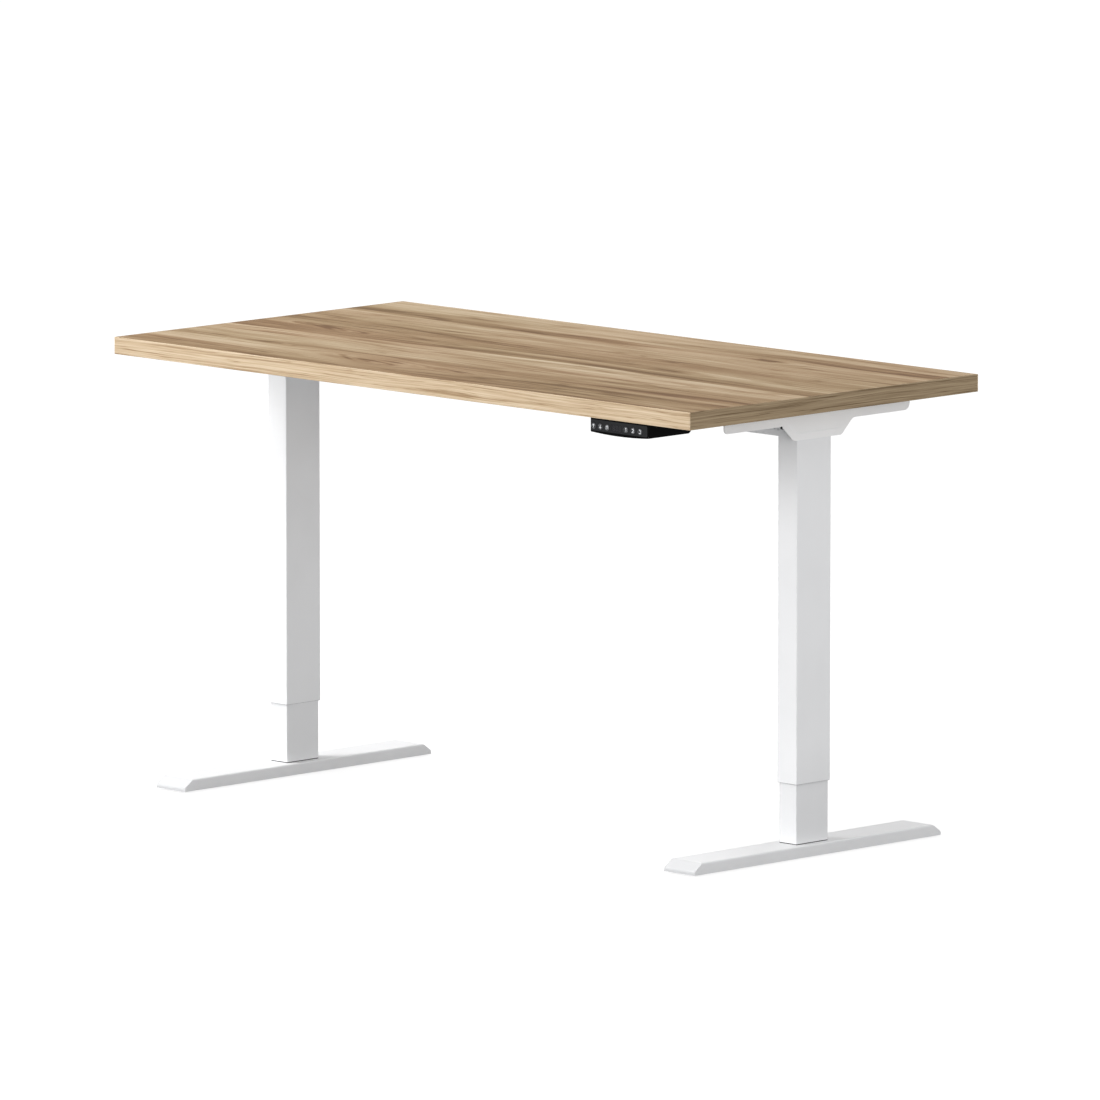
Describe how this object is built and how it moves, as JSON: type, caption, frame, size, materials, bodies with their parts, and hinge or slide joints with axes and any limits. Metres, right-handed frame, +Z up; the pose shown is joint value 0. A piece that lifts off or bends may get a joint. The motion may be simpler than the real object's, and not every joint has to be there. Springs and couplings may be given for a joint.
{
  "type": "height adjustable standing desk",
  "caption": "Electric sit-stand desk: wood-effect top on two white telescopic steel columns with bevelled feet and a push-button handset.",
  "frame": {"origin": "on the floor under the middle of the desktop", "axes": "+X to the user's right, +Y away from the user, +Z up"},
  "size_m": [1.4, 0.7, 0.797],
  "materials": {
    "frame_coat": "white powder coat, satin with a faint orange peel",
    "foot_coat": "white powder coat with a fine texture",
    "bare_steel": "zinc plated",
    "white_plastic": "moulded acetal",
    "bronze": "machined",
    "pad_plastic": "moulded, matt",
    "chipboard": "raw particle board",
    "wood_laminate": "satin melamine with a streaked wood print",
    "wood_edge": "satin plastic band with a streaked wood print",
    "black_plastic": "moulded, fine spark texture",
    "cast_metal": "die cast",
    "motor_coat": "dark paint",
    "circuit_board": "solder mask",
    "handset_plastic": "black, fine texture",
    "handset_gloss": "black, semi-gloss",
    "display_window": "smoked window",
    "button_plastic": "black with pale printed signs",
    "lead_sheath": "black cable sheath"
  },
  "bodies": {
    "left_base": {"left_foot": "foot_coat", "left_pad_brackets": "bare_steel", "left_foot_bolts": "bare_steel", "left_tube_base": "bare_steel", "left_lower_tube": "frame_coat", "left_spindle_nut": "white_plastic", "left_upper_glide": "white_plastic"},
    "top_frame": {"desktop_core": "chipboard", "laminate_sheets": "wood_laminate", "front_edge_band": "wood_edge", "back_edge_band": "wood_edge", "side_edge_bands": "wood_edge", "left_side_bracket": "frame_coat", "right_side_bracket": "frame_coat", "front_rail": "frame_coat", "back_rail": "frame_coat", "rail_end_caps": "black_plastic", "left_upper_tube": "frame_coat", "right_upper_tube": "frame_coat", "tube_liners": "white_plastic", "head_plates": "bare_steel", "left_motor_housing": "frame_coat", "right_motor_housing": "frame_coat", "gearboxes": "cast_metal", "spindle_bearings": "bare_steel", "motors": "motor_coat", "control_box": "black_plastic", "control_box_lid": "black_plastic", "control_board": "circuit_board", "mains_inlet": "black_plastic", "handset_shell": "handset_plastic", "handset_face": "handset_gloss", "handset_display": "display_window", "cable_leads": "lead_sheath", "cable_clips": "white_plastic", "desktop_screws": "bare_steel", "rail_bolts": "bare_steel"},
    "right_base": {"right_foot": "foot_coat", "right_pad_brackets": "bare_steel", "right_foot_bolts": "bare_steel", "right_tube_base": "bare_steel", "right_lower_tube": "frame_coat", "right_spindle_nut": "white_plastic", "right_upper_glide": "white_plastic"},
    "left_front_pad": {"left_front_pad": "pad_plastic"},
    "left_back_pad": {"left_back_pad": "pad_plastic"},
    "right_front_pad": {"right_front_pad": "pad_plastic"},
    "right_back_pad": {"right_back_pad": "pad_plastic"},
    "left_screw": {"left_spindle": "bare_steel", "left_worm_wheel": "bronze"},
    "left_rotor": {"left_motor_rotor": "bare_steel"},
    "right_screw": {"right_spindle": "bare_steel", "right_worm_wheel": "bronze"},
    "right_rotor": {"right_motor_rotor": "bare_steel"},
    "up_button": {"up_button": "button_plastic"},
    "down_button": {"down_button": "button_plastic"},
    "memory_button": {"memory_button": "button_plastic"},
    "preset_1_button": {"preset_1_button": "button_plastic"},
    "preset_2_button": {"preset_2_button": "button_plastic"},
    "preset_3_button": {"preset_3_button": "button_plastic"}
  },
  "joints": [
    {"name": "lift", "type": "slide", "parent": "left_base", "child": "top_frame", "axis": [0, 0, 1], "range_m": [-0.087, 0.383]},
    {"name": "right_column", "type": "slide", "parent": "top_frame", "child": "right_base", "axis": [0, 0, -1], "range_m": [-0.087, 0.383]},
    {"name": "left_spindle_turn", "type": "hinge", "parent": "top_frame", "child": "left_screw", "pos_m": [-0.6215, 0.0065, 0.7], "axis": [0, 0, 1], "continuous": true},
    {"name": "left_motor_turn", "type": "hinge", "parent": "top_frame", "child": "left_rotor", "pos_m": [-0.5615, -0.0125, 0.7375], "axis": [-1, 0, 0], "continuous": true},
    {"name": "right_spindle_turn", "type": "hinge", "parent": "top_frame", "child": "right_screw", "pos_m": [0.6215, 0.0065, 0.7], "axis": [0, 0, 1], "continuous": true},
    {"name": "right_motor_turn", "type": "hinge", "parent": "top_frame", "child": "right_rotor", "pos_m": [0.5615, -0.0125, 0.7375], "axis": [1, 0, 0], "continuous": true},
    {"name": "left_front_pad_screw", "type": "slide", "parent": "left_base", "child": "left_front_pad", "axis": [0, 0, -1], "range_m": [-0.002, 0.008]},
    {"name": "left_back_pad_screw", "type": "slide", "parent": "left_base", "child": "left_back_pad", "axis": [0, 0, -1], "range_m": [-0.002, 0.008]},
    {"name": "right_front_pad_screw", "type": "slide", "parent": "right_base", "child": "right_front_pad", "axis": [0, 0, -1], "range_m": [-0.002, 0.008]},
    {"name": "right_back_pad_screw", "type": "slide", "parent": "right_base", "child": "right_back_pad", "axis": [0, 0, -1], "range_m": [-0.002, 0.008]},
    {"name": "up_button_press", "type": "slide", "parent": "top_frame", "child": "up_button", "axis": [0, 1, 0], "range_m": [0, 0.0006], "stiffness_N_per_m": 1500, "springref_m": -0.001},
    {"name": "down_button_press", "type": "slide", "parent": "top_frame", "child": "down_button", "axis": [0, 1, 0], "range_m": [0, 0.0006], "stiffness_N_per_m": 1500, "springref_m": -0.001},
    {"name": "memory_button_press", "type": "slide", "parent": "top_frame", "child": "memory_button", "axis": [0, 1, 0], "range_m": [0, 0.0006], "stiffness_N_per_m": 1500, "springref_m": -0.001},
    {"name": "preset_1_button_press", "type": "slide", "parent": "top_frame", "child": "preset_1_button", "axis": [0, 1, 0], "range_m": [0, 0.0006], "stiffness_N_per_m": 1500, "springref_m": -0.001},
    {"name": "preset_2_button_press", "type": "slide", "parent": "top_frame", "child": "preset_2_button", "axis": [0, 1, 0], "range_m": [0, 0.0006], "stiffness_N_per_m": 1500, "springref_m": -0.001},
    {"name": "preset_3_button_press", "type": "slide", "parent": "top_frame", "child": "preset_3_button", "axis": [0, 1, 0], "range_m": [0, 0.0006], "stiffness_N_per_m": 1500, "springref_m": -0.001}
  ],
  "couplings": [
    {"joint": "right_column", "follows": "lift", "ratio": 1},
    {"joint": "left_spindle_turn", "follows": "lift", "rad_per_m": 628.32},
    {"joint": "left_motor_turn", "follows": "lift", "rad_per_m": 9424.8},
    {"joint": "right_spindle_turn", "follows": "lift", "rad_per_m": 628.32},
    {"joint": "right_motor_turn", "follows": "lift", "rad_per_m": 9424.8}
  ]
}
